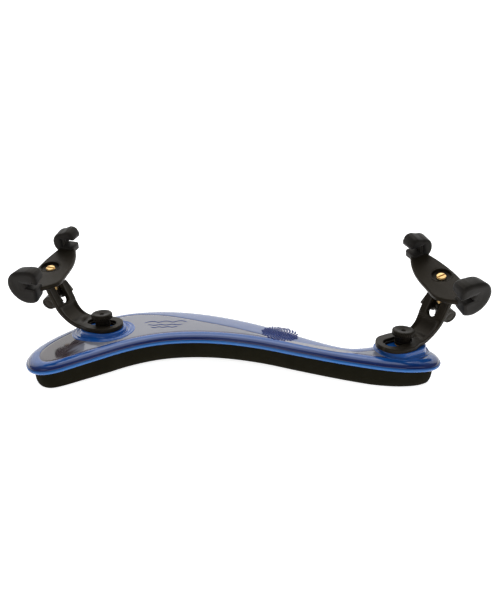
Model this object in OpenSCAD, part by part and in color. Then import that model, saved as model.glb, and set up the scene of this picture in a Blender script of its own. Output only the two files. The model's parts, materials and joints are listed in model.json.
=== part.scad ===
// Violin shoulder rest: a curved plastic body with a foam pad glued under it,
// and a slotted leg at each end that carries a swivelling, height-adjustable
// fork with two rubber boots.  Units are millimetres.
// +X runs from the wide lobe to the narrow lobe, -Y faces the player's chest,
// +Z is up, away from the shoulder.  The foam stands on Z = 0.

/* [Body] */
// Height of the top face at both ends of the body
end_h = 14.5; // [14:0.5:18]
// How much higher the middle of the body is than its ends
arch_h = 4; // [2:0.5:6]
// Thickness of the plastic body
shell_t = 4.5; // [3.5:0.5:5.5]
// Height of the rounded edge band at the top of the body
rim_t = 1.2; // [0.8:0.1:1.6]
// How far the foam pad is set back from the edge of the body
pad_inset = 4; // [3:0.5:6]
// How far the foam's underside rises in the middle
pad_hollow = 2; // [1:0.5:4]
// Half of the span of that hollow
hollow_half = 72; // [60:2:80]

/* [Legs] */
// Thickness of a leg
leg_t = 2.6; // [2.2:0.1:3]
// Width of the arm that rises from the base plate
arm_w = 16.5; // [15.5:0.5:17]
// Width of the base plate
plate_w = 20; // [19:1:23]
// Lean of the arm, measured up from level
arm_lean = 66; // [62:1:70]
// Radius of the bend, at the middle of the leg's thickness
bend_r = 15.5; // [14:0.5:17]
// Length of the straight part of the arm
arm_l = 14; // [14:0.5:16]
// Width of the open slot between the arm's two prongs
prong_gap = 6.2; // [6:0.1:6.6]
// Width of the slot in the base plate
slot_w = 9.2; // [9:0.1:9.6]
// Direction of the left leg, turned back from the body's long axis
left_turn = 19; // [10:1:30]
// Direction of the right leg, turned back from the body's long axis
right_turn = 30; // [20:1:35]
// How far the left leg is pulled out along its slot
left_reach = 2; // [-2:0.5:4]
// How far the right leg is pulled out along its slot
right_reach = -2; // [-2:0.5:4]

/* [Knobs] */
// Diameter of the knurled cap
cap_d = 12; // [11:0.5:13]
// Height of the knurled cap
cap_h = 3.2; // [3:0.2:4.4]
// Diameter of the knob's neck
neck_d = 8.6; // [8:0.2:9.4]
// Diameter of the steel stud
stud_d = 5; // [4:0.5:5]

/* [Forks] */
// Height of the left fork above its cross nut
left_height = 20.5; // [20:0.5:26]
// Height of the right fork above its cross nut
right_height = 24.5; // [20:0.5:26]
// Inward lean of the left fork
left_lean = 7; // [4:1:20]
// Inward lean of the right fork
right_lean = 20; // [8:1:24]
// How far each cross nut is skewed on its arm, so that the fork leans forward
nut_skew = 16; // [8:1:18]
// How far the left fork is turned, front boot inward
left_twist = 2; // [0:1:10]
// How far the right fork is turned, front boot inward
right_twist = 4; // [0:1:10]
// Half length of the fork's leaf-shaped plate
leaf_half = 27; // [26:0.5:28]
// Reach of the plate on the inner side, towards the violin
leaf_in = 10; // [9:0.5:10.5]
// Reach of the plate on the outer side
leaf_out = 6.5; // [6.5:0.5:8]
// Thickness of the plate
leaf_t = 3; // [2.6:0.2:3.4]
// Radius of the upward curve along the plate
leaf_curve = 180; // [160:10:220]
// Diameter of the brass threaded rod
rod_d = 3.8; // [3.4:0.2:3.8]

/* [Boots] */
// Radius of the front boots
front_r = 9.2; // [9:0.2:10]
// Radius of the rear boots
rear_r = 7; // [6.8:0.2:8]
// Distance of the boots from the middle of the fork
boot_y = 23; // [22.5:0.5:24]
// Height of the notch that grips the edge of the violin
notch_h = 5; // [4.6:0.2:5.4]

/* [Hidden] */
$fn = 64;
e = 0.01;
run = 0.05; // radial clearance of a running fit
half_l = 113;
middle = [1.74, 4.94]; // plan position of the middle of the whole rest
left_k = [-80, 10];
right_k = [90.5, -13];
boss_top = end_h + 4.5;
pocket_z = end_h - 1.5; // floor of the blind pocket under each insert
plate_top = boss_top + leg_t;
arc_r = (half_l * half_l + arch_h * arch_h) / (2 * arch_h);
hollow_r = (hollow_half * hollow_half + pad_hollow * pad_hollow) / (2 * pad_hollow);
bend_u = 8; // where the bend begins, from the slot's middle
nut_t = 7.5; // how far up the straight arm the nut sits
nut_r = 2.6;
block_r = 3.9;
block_l = 18.5;
foot = 5; // from the nut axis to the slider's flat face
nut_out = leg_t / 2 + 0.15 + foot; // nut axis to the arm's mid plane
mid_z = boss_top + leg_t / 2;
arm_u = bend_u + bend_r * sin(arm_lean);
arm_z = mid_z + bend_r * (1 - cos(arm_lean));
nut_u = arm_u + nut_t * cos(arm_lean) + nut_out * sin(arm_lean);
nut_z = arm_z + nut_t * sin(arm_lean) - nut_out * cos(arm_lean);
ledge = 1.2; // depth of the narrow lower part of the base plate's slot
slot_low = slot_w - 2.2;
flange_t = 0.5;
neck_z = boss_top + ledge + flange_t;
cap_z = boss_top + 5.4;
notch_z = 2.2;
slot_mid = -1.5; // middle of the base plate's slot
slot_run = 8.8; // how far the collar can travel in it
boot_l = 9;

// ---- outline of the body: a closed smooth curve through hand-set points ----
edge = [
  [111, -18], [105, -5.5], [90, -2.5], [75, -8.5], [60, -11.5],
  [40, -0.5], [20, 13.5], [0, 25], [-25, 35.5], [-50, 40.5],
  [-75, 37.5], [-97, 22.5], [-111, 3], [-115.5, -15], [-109, -30.5],
  [-97, -34.5], [-80, -24], [-60, -10.5], [-40, -3.5], [-15, -3.5],
  [10, -9.5], [35, -19.5], [60, -28], [85, -33], [104, -29.5]
];
steps = 5;
function knot(i) = edge[(i + len(edge)) % len(edge)];
function curve(a, b, c, d, t) =
  0.5 * (2 * b + (c - a) * t + (2 * a - 5 * b + 4 * c - d) * t * t + (3 * b - a - 3 * c + d) * t * t * t);
function slope(a, b, c, d, t) =
  0.5 * ((c - a) + 2 * (2 * a - 5 * b + 4 * c - d) * t + 3 * (3 * b - a - 3 * c + d) * t * t);
function inward(v) = [-v[1], v[0]] / norm(v);
function outline(inset) = [
  for (i = [0:len(edge) - 1], j = [0:steps - 1])
    curve(knot(i - 1), knot(i), knot(i + 1), knot(i + 2), j / steps)
    + inset * inward(slope(knot(i - 1), knot(i), knot(i + 1), knot(i + 2), j / steps))
];

// a slab between two arched faces that share one centre line along Y
module arched(top, bottom, inset) {
  intersection() {
    linear_extrude(40)
      polygon(outline(inset));
    translate([0, 0, end_h + arch_h - arc_r])
      rotate([90, 0, 0])
        difference() {
          cylinder(r = arc_r + top, h = 200, center = true, $fn = 1440);
          cylinder(r = arc_r + bottom, h = 210, center = true, $fn = 1440);
        }
  }
}

// ---- placing things on the left and right side ----
module on_side(left) {
  if (left)
    translate([left_k[0], left_k[1], 0])
      mirror([1, 0, 0])
        rotate([0, 0, left_turn])
          children();
  else
    translate([right_k[0], right_k[1], 0])
      rotate([0, 0, right_turn])
        children();
}

function reach(left) = left ? left_reach : right_reach;
function lean(left) = left ? left_lean : right_lean;
function height(left) = left ? left_height : right_height;
function twist(left) = left ? left_twist : right_twist;
// the skewed rod crosses the slot in its middle, so the slider sits back a little
function set_back(left) = nut_out / tan(90 - arm_lean + lean(left)) * sin(nut_skew);

module on_leg(left) {
  on_side(left)
    translate([reach(left), 0, 0])
      children();
}

// X across the arm's face and away from the body, Y back, Z up along the arm
module on_slider(left) {
  on_leg(left)
    translate([nut_u, set_back(left), nut_z])
      rotate(a = -nut_skew, v = [-sin(arm_lean), 0, cos(arm_lean)])
        rotate([0, 90 - arm_lean, 0])
          children();
}

// the same centre, with Z along the threaded rod
module on_nut(left) {
  on_slider(left)
    rotate([0, -(90 - arm_lean) - lean(left), 0])
      children();
}

// origin on top of the fork plate at its middle, Y back along the plate
module on_fork(left) {
  on_nut(left)
    translate([0, 0, height(left)])
      rotate([0, 0, -twist(left)])
        children();
}

// ---- body ----
module boss(k, turn, left) {
  translate([k[0], k[1], 0])
    mirror([left ? 1 : 0, 0, 0])
      rotate([0, 0, turn])
        linear_extrude(boss_top - pocket_z)
          stadium(10.5, 6.5);
}

module stadium(r, travel) {
  for (u = [-travel / 2, travel / 2])
    translate([u, 0])
      circle(r = r);
  square([travel, 2 * r], center = true);
}

module body_shell() {
  color([0.1, 0.35, 0.75, 0.6])
    difference() {
      union() {
        arched(-rim_t, -shell_t, 0);
        arched(0, -rim_t - e, 1);
        translate([0, 0, pocket_z]) boss(left_k, left_turn, true);
        translate([0, 0, pocket_z]) boss(right_k, right_turn, false);
      }
      for (k = [left_k, right_k])
        translate([k[0], k[1], pocket_z])
          cylinder(d = 8, h = 10);
    }
}

module foam_pad() {
  color([0.12, 0.11, 0.09])
    difference() {
      intersection() {
        linear_extrude(40)
          polygon(outline(pad_inset));
        translate([0, 0, end_h + arch_h - arc_r])
          rotate([90, 0, 0])
            cylinder(r = arc_r - shell_t, h = 200, center = true, $fn = 1440);
      }
      translate([0, 0, pad_hollow - hollow_r])
        rotate([90, 0, 0])
          cylinder(r = hollow_r, h = 200, center = true, $fn = 720);
    }
}

module insert() {
  color([0.8, 0.62, 0.3])
    translate([0, 0, pocket_z])
      difference() {
        cylinder(d = 8, h = boss_top - pocket_z);
        translate([0, 0, -1])
          cylinder(d = stud_d + 2 * run, h = 10);
      }
}

// ---- leg clamp: washer, stud and knob ----
module washer(left) {
  on_side(left)
    color([0.1, 0.1, 0.1])
      difference() {
        union() {
          translate([0, 0, boss_top + ledge])
            cylinder(d = slot_w - 0.3, h = flange_t);
          translate([0, 0, boss_top + 0.1])
            cylinder(d = slot_low - 2 * run, h = ledge);
        }
        translate([0, 0, boss_top - 1])
          cylinder(d = stud_d + 2 * run, h = 10);
      }
}

module stud(left) {
  on_side(left)
    color([0.6, 0.6, 0.62])
      translate([0, 0, pocket_z + 0.3]) {
        cylinder(d = stud_d, h = cap_z - pocket_z - 0.3);
        translate([0, 0, cap_z - pocket_z - 2.3])
          cylinder(d = 6.4, h = 1.2);
      }
}

module knob(left) {
  on_side(left)
    color([0.08, 0.08, 0.07])
      difference() {
        union() {
          translate([0, 0, neck_z])
            cylinder(d = neck_d, h = cap_z - neck_z + 0.5);
          translate([0, 0, cap_z])
            cylinder(d = cap_d - 1, h = cap_h);
          translate([0, 0, cap_z + 0.6])
            difference() {
              cylinder(d = cap_d, h = cap_h - 1.2);
              for (i = [0:23])
                rotate([0, 0, i * 15])
                  translate([cap_d / 2 + 0.1, 0, -1])
                    cylinder(d = 0.7, h = cap_h + 2, $fn = 16);
            }
        }
        translate([0, 0, neck_z - 1])
          cylinder(d = stud_d + 2 * run, h = cap_z - neck_z + 1 + run);
        translate([0, 0, cap_z - 2 - run])
          cylinder(d = 6.4 + 2 * run, h = 1.2 + 2 * run);
        translate([0, 0, cap_z + cap_h + 7.2])
          sphere(r = 8);
      }
}

// ---- leg: slotted base plate, a bend, and an arm with two prongs ----
module leg(left) {
  on_leg(left)
    color([0.08, 0.08, 0.07])
      difference() {
        union() {
          translate([0, 0, boss_top])
            linear_extrude(leg_t)
              plate_outline();
          rotate([90, 0, 0])
            linear_extrude(arm_w, center = true)
              strip();
        }
        translate([0, 0, boss_top - 1])
          linear_extrude(leg_t + 2)
            stadium_slot(slot_low);
        translate([0, 0, boss_top + ledge])
          linear_extrude(leg_t)
            stadium_slot(slot_w);
        translate([arm_u, 0, arm_z])
          rotate([0, 90 - arm_lean, 0])
            translate([-5, 0, 0])
              rotate([90, 0, 90])
                linear_extrude(10)
                  prong_cuts();
      }
}

// points along the bend at radius r, seen from the side
facets = 22;
function bend(r) = [
  for (i = [0:facets])
    [bend_u + r * sin(i * arm_lean / facets), mid_z + bend_r - r * cos(i * arm_lean / facets)]
];
function along_arm(p) = p + arm_l * [cos(arm_lean), sin(arm_lean)];
function reversed(v) = [for (i = [len(v) - 1:-1:0]) v[i]];

// side view of the strip: a root inside the base plate, the bend and the straight arm
module strip() {
  half_t = leg_t / 2 - 0.1;
  outer = bend(bend_r + half_t);
  inner = bend(bend_r - half_t);
  polygon(concat(
    [[0, mid_z - half_t]], outer, [along_arm(outer[facets]), along_arm(inner[facets])],
    reversed(inner), [[0, mid_z + half_t]]
  ));
}

// outline of the base plate: round at the inner end, narrowing to the arm
module plate_outline() {
  translate([-4, 0])
    circle(d = plate_w);
  polygon([
    [-4, -plate_w / 2], [1, -plate_w / 2], [bend_u, -arm_w / 2 - 0.2],
    [bend_u, arm_w / 2 + 0.2], [1, plate_w / 2], [-4, plate_w / 2]
  ]);
}

module stadium_slot(w) {
  translate([slot_mid, 0])
    stadium(w / 2, slot_run);
}

// what is cut from the arm, seen square on: the open slot and two outer corners
module prong_cuts() {
  translate([0, 4.6])
    circle(d = prong_gap);
  translate([-prong_gap / 2, 4.6])
    square([prong_gap, 30]);
  for (s = [-1, 1])
    translate([s * (arm_w / 2 - 2), arm_l - 2])
      difference() {
        translate([s > 0 ? 0 : -4, 0])
          square([4, 4]);
        circle(r = 2.2);
      }
}

// ---- slider and cross nut behind the arm ----
module slider(left) {
  on_slider(left)
    color([0.1, 0.1, 0.09])
      difference() {
        union() {
          rotate([90, 0, 0])
            cylinder(r = block_r, h = block_l, center = true);
          translate([-foot, -block_l / 2, -block_r])
            cube([foot, block_l, 2 * block_r]);
        }
        rotate([90, 0, 0])
          cylinder(r = nut_r + run, h = 30, center = true);
        // the rod's window: only a bar on the outer, upper side stays
        rotate([0, -35, 0]) {
          translate([-10, -3.1, -10])
            cube([12.95, 6.2, 20]);
          for (s = [-1, 1])
            translate([0, -3.1, s * 6.6 - 5])
              cube([10, 6.2, 10]);
        }
      }
}

module cross_nut(left) {
  on_nut(left)
    color([0.1, 0.1, 0.09])
      difference() {
        rotate([90, 0, 0])
          cylinder(r = nut_r, h = block_l - 0.4, center = true);
        cylinder(d = rod_d + 2 * run, h = 20, center = true);
      }
}

// ---- fork ----
module rod(left) {
  on_nut(left)
    color([0.8, 0.62, 0.3]) {
      translate([0, 0, -4.4])
        cylinder(d = rod_d, h = height(left) + 4.4 - 1);
      translate([0, 0, height(left) - 1.55])
        difference() {
          cylinder(d = 5.2, h = 1);
          translate([-4, -0.5, 0.5])
            cube([8, 1, 2]);
        }
    }
}

module leaf_outline() {
  r_in = (leaf_half * leaf_half + leaf_in * leaf_in) / (2 * leaf_in);
  r_out = (leaf_half * leaf_half + leaf_out * leaf_out) / (2 * leaf_out);
  intersection() {
    translate([r_in - leaf_in, 0])
      circle(r = r_in, $fn = 240);
    translate([leaf_out - r_out, 0])
      circle(r = r_out, $fn = 240);
    square([40, 52], center = true);
  }
}

// the curved leaf between its upper and lower face
module leaf() {
  intersection() {
    translate([0, 0, -10])
      linear_extrude(30)
        leaf_outline();
    translate([0, 0, leaf_curve])
      rotate([0, 90, 0])
        difference() {
          cylinder(r = leaf_curve + leaf_t, h = 60, center = true, $fn = 720);
          cylinder(r = leaf_curve, h = 70, center = true, $fn = 720);
        }
  }
}

module fork(left) {
  on_fork(left)
    color([0.1, 0.1, 0.09])
      difference() {
        union() {
          leaf();
          translate([0, 0, -leaf_t - 1.6])
            cylinder(d = 10, h = leaf_t);
          translate([0, 0, -1.5])
            cylinder(d = 12.4, h = 1.5);
        }
        translate([0, 0, -1.6])
          cylinder(d = 10.4, h = 5);
        translate([0, 0, -10])
          cylinder(d = rod_d + 2 * run, h = 20);
      }
}

// ---- rubber boots ----
// profile across the fork: +X is out, the nose and the notch face -X
module boot_profile(r, zc, nose) {
  top = notch_z + notch_h;
  difference() {
    union() {
      translate([0, zc])
        circle(r = r);
      for (z = [top + 2, top + 2.6])
        translate([2 - nose, z])
          circle(r = 2);
      translate([-nose, top + 2])
        square([nose, 0.6]);
      translate([2 - nose, top])
        square([nose - 2, 4.6]);
      translate([3 - nose, zc - r + 2.5])
        square([nose - 3, notch_z + r - zc - 2.5]);
    }
    translate([-30, notch_z])
      square([31, notch_h]);
  }
}

module boot(left, dir, r, zc, nose) {
  on_fork(left)
    color([0.07, 0.07, 0.07])
      difference() {
        translate([0, dir * boot_y, 0])
          union() {
            intersection() {
              rotate([90, 0, 0])
                linear_extrude(boot_l, center = true)
                  boot_profile(r, zc, nose);
              translate([0, 0, zc])
                rotate([90, 0, 0])
                  rotate_extrude($fn = 90)
                    barrel_profile(r + 1);
            }
            // ribs on the back wall of the notch
            for (i = [-1.5:1:1.5])
              translate([1, i * 1.9, notch_z - 0.3])
                cylinder(d = 1.2, h = notch_h + 0.6, $fn = 24);
          }
        leaf();
      }
}

// half outline of a barrel with rounded corners
module barrel_profile(r) {
  c = 3;
  translate([0, -boot_l / 2])
    square([r - c, boot_l]);
  translate([0, c - boot_l / 2])
    square([r, boot_l - 2 * c]);
  for (s = [-1, 1])
    translate([r - c, s * (boot_l / 2 - c)])
      intersection() {
        circle(r = c);
        translate([0, s > 0 ? 0 : -c])
          square([c, c]);
      }
}

// the row's origin lies under the middle of the whole rest
module placed() {
  translate([-middle[0], -middle[1], 0])
    children();
}

placed() body_shell();
placed() foam_pad();
placed() on_side(true) insert();  // left_insert
placed() on_side(false) insert();  // right_insert
placed() washer(true);  // left_washer
placed() washer(false);  // right_washer
placed() stud(true);  // left_stud
placed() stud(false);  // right_stud
placed() knob(true);  // left_knob
placed() knob(false);  // right_knob
placed() leg(true);  // left_leg
placed() leg(false);  // right_leg
placed() slider(true);  // left_slider
placed() slider(false);  // right_slider
placed() cross_nut(true);  // left_cross_nut
placed() cross_nut(false);  // right_cross_nut
placed() rod(true);  // left_rod
placed() rod(false);  // right_rod
placed() fork(true);  // left_fork
placed() fork(false);  // right_fork
placed() boot(true, -1, front_r, 3.5, 7.5);  // left_front_boot
placed() boot(false, -1, front_r, 3.5, 7.5);  // right_front_boot
placed() boot(true, 1, rear_r, 4.5, 6.5);  // left_rear_boot
placed() boot(false, 1, rear_r, 4.5, 6.5);  // right_rear_boot
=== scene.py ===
# %% [markdown]
# # A violin shoulder rest
# The rest is a see-through blue plastic bar on a foam pad, with a slotted leg at each end that carries
# a swivelling fork in rubber boots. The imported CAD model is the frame: it says where every piece is and
# how it moves, and the meshes below give each piece its finished shape and surface.

# %% Load the frame
import json
import math
import bmesh
import bpy
import numpy as np
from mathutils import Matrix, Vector


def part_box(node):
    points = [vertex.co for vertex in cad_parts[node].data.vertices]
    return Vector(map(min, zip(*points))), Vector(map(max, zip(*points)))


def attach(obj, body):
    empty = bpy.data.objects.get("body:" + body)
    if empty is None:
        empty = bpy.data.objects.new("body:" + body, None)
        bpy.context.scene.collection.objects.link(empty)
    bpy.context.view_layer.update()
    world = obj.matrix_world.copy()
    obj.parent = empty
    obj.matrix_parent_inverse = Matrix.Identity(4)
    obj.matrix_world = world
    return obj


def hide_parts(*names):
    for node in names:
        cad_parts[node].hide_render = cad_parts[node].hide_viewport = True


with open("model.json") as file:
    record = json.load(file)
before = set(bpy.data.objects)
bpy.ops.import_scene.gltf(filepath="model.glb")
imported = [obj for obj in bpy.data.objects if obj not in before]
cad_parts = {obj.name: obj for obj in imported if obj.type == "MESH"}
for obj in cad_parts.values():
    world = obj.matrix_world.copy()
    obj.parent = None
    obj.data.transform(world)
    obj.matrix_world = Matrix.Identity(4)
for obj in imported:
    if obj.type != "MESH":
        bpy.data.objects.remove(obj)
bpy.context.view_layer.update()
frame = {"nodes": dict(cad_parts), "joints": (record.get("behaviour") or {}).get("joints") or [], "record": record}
record = frame["record"]
nodes = frame["nodes"]
MM = 0.001
SIDES = ("left", "right")
JOINTS = {joint["name"]: joint for joint in frame["joints"]}
MOUNTS = {mount["name"]: mount for mount in record["mounts"]}

# %% [markdown]
# ## Where things are
# Every later step needs a few places and directions on each side: the stud, the way the leg slides, the
# barrel nut, and the middle and axis of the fork. The joints and mounts already hold them, so nothing is
# measured twice.

# %% Directions of one side
PAD_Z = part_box("left_insert")[1].z / MM   # top of the bosses
LEG_T = 2.6                               # thickness of the leg's strip
PLATE_R = 10.0                            # round inner end of the leg
PLATE_BACK = 4.0                          # its centre, behind the leg's zero
BEND_U = 8.0                              # where the bend starts
BEND_R = 15.5                             # radius of the bend at mid thickness
ARM_LEAN = math.radians(66)               # how steeply the arm rises
ARM_L = 14.0                              # length of the straight arm
ARM_HALF = 8.25                           # half its width
UP = Vector((0, 0, 1))


def side_frame(side):
    """Origins and unit vectors of one leg and its fork, in millimetres."""
    stud = Vector(JOINTS[side + "_knob_turn"]["pos_m"]) / MM
    out = Vector(JOINTS[side + "_leg_slide"]["axis"]).normalized()
    back = Vector((-out.y, out.x, 0))
    if back.y < 0:
        back.negate()
    axis = Vector(JOINTS[side + "_fork_lift"]["axis"]).normalized()
    middle = Vector(JOINTS[side + "_fork_turn"]["pos_m"]) / MM
    front_notch = Vector(MOUNTS[side + "_front_notch"]["pos_m"])
    rear_notch = Vector(MOUNTS[side + "_rear_notch"]["pos_m"])
    along = (rear_notch - front_notch).normalized()
    outward = -Vector(MOUNTS[side + "_front_notch"]["axis"]).normalized()
    block = Vector(JOINTS[side + "_fork_tilt"]["pos_m"]) / MM
    return dict(stud=stud, out=out, back=back, axis=axis, middle=middle, along=along,
                outward=outward, block=block)


FRAMES = {side: side_frame(side) for side in SIDES}


def leg_origin(side):
    """Where the leg's own zero lies: the CAD leg's round end tells how far it is pulled out."""
    f = FRAMES[side]
    inner_end = min(f["out"].dot(v.co / MM - f["stud"]) for v in nodes[side + "_leg"].data.vertices)
    return f["stud"] + f["out"] * (inner_end + (PLATE_R + PLATE_BACK))


for side in SIDES:
    FRAMES[side]["leg"] = leg_origin(side)
    print(side, "stud", FRAMES[side]["stud"], "leg zero", FRAMES[side]["leg"])

# %% [markdown]
# ## Small mesh tools
# Three tools make nearly every piece. A loft joins closed rings of points, which suits the bar, the pad
# and anything turned on a lathe. A slab is a flat shape with rounded edges, cut by a grid so that it can
# be bent afterwards, which suits the legs, the fork plates and the boots. A finisher puts a mesh on its
# body and gives it its material.

# %% Finish a piece
WELD = 0.002                 # points closer than this become one


def add_piece(name, verts, faces, body, material, slot_name, stands_for=(), smooth=40):
    """Makes an object from points in millimetres and ties it to the frame."""
    mesh = bpy.data.meshes.new(name)
    mesh.from_pydata([tuple(Vector(v) * MM) for v in verts], [], faces)
    return finish_piece(name, mesh, body, material, stands_for, smooth)


def finish_piece(name, mesh, body, material, stands_for=(), smooth=40):
    """Welds and smooths a mesh up to an angle in degrees, then gives it a body and material."""
    bm = bmesh.new()
    bm.from_mesh(mesh)
    bmesh.ops.remove_doubles(bm, verts=bm.verts, dist=WELD * MM)
    bmesh.ops.recalc_face_normals(bm, faces=bm.faces)
    bm.to_mesh(mesh)
    bm.free()
    mesh.shade_smooth()
    mesh.set_sharp_from_angle(angle=math.radians(smooth))
    piece = bpy.data.objects.new(name, mesh)
    bpy.context.scene.collection.objects.link(piece)
    piece.data.materials.append(material)
    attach(piece, body)
    if stands_for:
        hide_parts(*stands_for)
    print(name, len(mesh.vertices), "points")
    return piece


# %% Loft closed rings
def loft(rings, cap_start=True, cap_end=True):
    """Quads between rings of equal length, with a flat fan on each open end if asked."""
    count = len(rings[0])
    verts = [p for ring in rings for p in ring]
    faces = []
    for r in range(len(rings) - 1):
        for i in range(count):
            j = (i + 1) % count
            faces.append((r * count + i, r * count + j, (r + 1) * count + j, (r + 1) * count + i))
    for wanted, base in ((cap_start, 0), (cap_end, (len(rings) - 1) * count)):
        if wanted:
            verts.append(sum((Vector(verts[base + i]) for i in range(count)), Vector()) / count)
            centre = len(verts) - 1
            faces += [(base + i, base + (i + 1) % count, centre) for i in range(count)]
    return verts, faces


def place(points, origin, x_axis, y_axis, z_axis):
    """Moves local points into the frame."""
    return [origin + x_axis * p[0] + y_axis * p[1] + z_axis * p[2] for p in points]


def turned(profile, origin, axis, segments=72, flutes=0):
    """Points of a shape turned round an axis. A profile entry is radius, height and flute depth."""
    x_axis = axis.orthogonal().normalized()
    y_axis = axis.cross(x_axis)
    rings = []
    for radius, height, depth in profile:
        ring = []
        for i in range(segments):
            angle = 2 * math.pi * i / segments
            notch = max(0.0, math.cos(flutes * angle)) ** 3 if flutes else 0.0
            r = radius - depth * notch
            ring.append((r * math.cos(angle), r * math.sin(angle), height))
        rings.append(place(ring, origin, x_axis, y_axis, axis))
    return rings


# %% Make a flat slab with rounded edges and a grid of cuts
def slab(loops, thickness, bevel, step):
    """Mesh of a flat shape in local millimetres: loops are its outline and holes, step is the grid's."""
    curve = bpy.data.curves.new("flat_shape", "CURVE")
    curve.dimensions = "2D"
    curve.fill_mode = "BOTH"
    curve.extrude = thickness / 2 - bevel
    curve.bevel_depth = bevel
    curve.bevel_resolution = 3
    curve.offset = -bevel
    for loop in loops:
        spline = curve.splines.new("POLY")
        spline.points.add(len(loop) - 1)
        for point, (x, y) in zip(spline.points, loop):
            point.co = (x, y, 0, 1)
        spline.use_cyclic_u = True
    holder = bpy.data.objects.new("flat_shape", curve)
    bpy.context.scene.collection.objects.link(holder)
    graph = bpy.context.evaluated_depsgraph_get()
    mesh = bpy.data.meshes.new_from_object(holder.evaluated_get(graph))
    bpy.data.objects.remove(holder)
    bpy.data.curves.remove(curve)
    bm = bmesh.new()
    bm.from_mesh(mesh)
    bmesh.ops.remove_doubles(bm, verts=bm.verts, dist=0.01)
    low = [min(v.co[k] for v in bm.verts) for k in (0, 1)]
    high = [max(v.co[k] for v in bm.verts) for k in (0, 1)]
    for k, normal in ((0, (1, 0, 0)), (1, (0, 1, 0))):
        cut = math.ceil(low[k] / step) * step
        while cut < high[k]:
            point = (cut, 0, 0) if k == 0 else (0, cut, 0)
            geometry = bm.verts[:] + bm.edges[:] + bm.faces[:]
            bmesh.ops.bisect_plane(bm, geom=geometry, plane_co=point, plane_no=normal, dist=0.001)
            cut += step
    bm.to_mesh(mesh)
    bm.free()
    return mesh


def bend_mesh(mesh, shape):
    """Sends every local point through shape(x, y, z), which answers with a point of the frame."""
    for vertex in mesh.vertices:
        vertex.co = shape(*vertex.co) * MM
    mesh.update()
    return mesh


def arc_points(cx, cy, radius, start, stop, count):
    """Points on an arc from start to stop degrees."""
    angles = [math.radians(start + (stop - start) * i / (count - 1)) for i in range(count)]
    return [(cx + radius * math.cos(a), cy + radius * math.sin(a)) for a in angles]


def soft_step(value, low, high):
    """Rises smoothly from 0 at low to 1 at high. It falls instead when low is the larger."""
    t = min(1.0, max(0.0, (value - low) / (high - low)))
    return t * t * (3 - 2 * t)


# %% [markdown]
# ## Shared surface effects
# Moulded nylon, rubber and foam all show a fine grain, a little dust, and paler edges that are partly
# wear and partly a painted highlight. Each effect is one node group with named sockets, so a material sets
# only its own amounts. The shader itself always stays in the material.

# %% Node group helpers
def new_group(name, inputs, outputs):
    group = bpy.data.node_groups.new(name, "ShaderNodeTree")
    for kind, label, default in inputs:
        socket = group.interface.new_socket(name=label, in_out="INPUT", socket_type=kind)
        socket.default_value = default
    for kind, label in outputs:
        group.interface.new_socket(name=label, in_out="OUTPUT", socket_type=kind)
    source = group.nodes.new("NodeGroupInput")
    sink = group.nodes.new("NodeGroupOutput")
    return group, source, sink


def node(tree, kind, **settings):
    made = tree.nodes.new(kind)
    for key, value in settings.items():
        if key in made.inputs:
            made.inputs[key].default_value = value
        else:
            setattr(made, key, value)
    return made


def math_node(tree, operation, a, b=None, clamp=False):
    made = tree.nodes.new("ShaderNodeMath")
    made.operation = operation
    made.use_clamp = clamp
    for slot_index, value in enumerate((a, b)):
        if value is None:
            continue
        if isinstance(value, (int, float)):
            made.inputs[slot_index].default_value = value
        else:
            tree.links.new(value, made.inputs[slot_index])
    return made.outputs[0]


def mix_colour(tree, factor, a, b):
    made = tree.nodes.new("ShaderNodeMix")
    made.data_type = "RGBA"
    for index, value in ((0, factor), (6, a), (7, b)):
        if isinstance(value, (int, float)):
            made.inputs[index].default_value = value
        elif isinstance(value, tuple):
            made.inputs[index].default_value = (*value, 1.0)
        else:
            tree.links.new(value, made.inputs[index])
    return made.outputs[2]


# %% Grain group: a height and a slow mottling
def build_grain():
    group, source, sink = new_group(
        "moulded_grain",
        [("NodeSocketFloat", "Grain Scale", 2500.0), ("NodeSocketFloat", "Mottle Scale", 120.0)],
        [("NodeSocketFloat", "Height"), ("NodeSocketFloat", "Mottle")])
    place_node = node(group, "ShaderNodeTexCoord")
    fine = node(group, "ShaderNodeTexNoise", Detail=3.0)
    slow = node(group, "ShaderNodeTexNoise", Detail=4.0)
    group.links.new(place_node.outputs["Object"], fine.inputs["Vector"])
    group.links.new(place_node.outputs["Object"], slow.inputs["Vector"])
    group.links.new(source.outputs["Grain Scale"], fine.inputs["Scale"])
    group.links.new(source.outputs["Mottle Scale"], slow.inputs["Scale"])
    group.links.new(fine.outputs["Fac"], sink.inputs["Height"])
    group.links.new(slow.outputs["Fac"], sink.inputs["Mottle"])
    return group


# %% Wear and highlight group: paler, smoother edges, partly wear and partly a painted highlight
def build_wear_and_highlight():
    group, source, sink = new_group(
        "edge_wear_and_highlight",
        [("NodeSocketFloat", "Amount", 0.5), ("NodeSocketFloat", "Sharpness", 0.56)],
        [("NodeSocketFloat", "Mask")])
    shape = node(group, "ShaderNodeNewGeometry")
    place_node = node(group, "ShaderNodeTexCoord")
    patches = node(group, "ShaderNodeTexNoise", Scale=420.0, Detail=5.0)
    group.links.new(place_node.outputs["Object"], patches.inputs["Vector"])
    # pointiness picks out the edges; their paler colour is partly wear and partly a painted highlight
    edge = math_node(group, "SUBTRACT", shape.outputs["Pointiness"], source.outputs["Sharpness"])
    edge = math_node(group, "MULTIPLY", edge, 14.0, clamp=True)
    rough = math_node(group, "MULTIPLY", edge, patches.outputs["Fac"])
    group.links.new(math_node(group, "MULTIPLY", rough, source.outputs["Amount"]), sink.inputs["Mask"])
    return group


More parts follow.
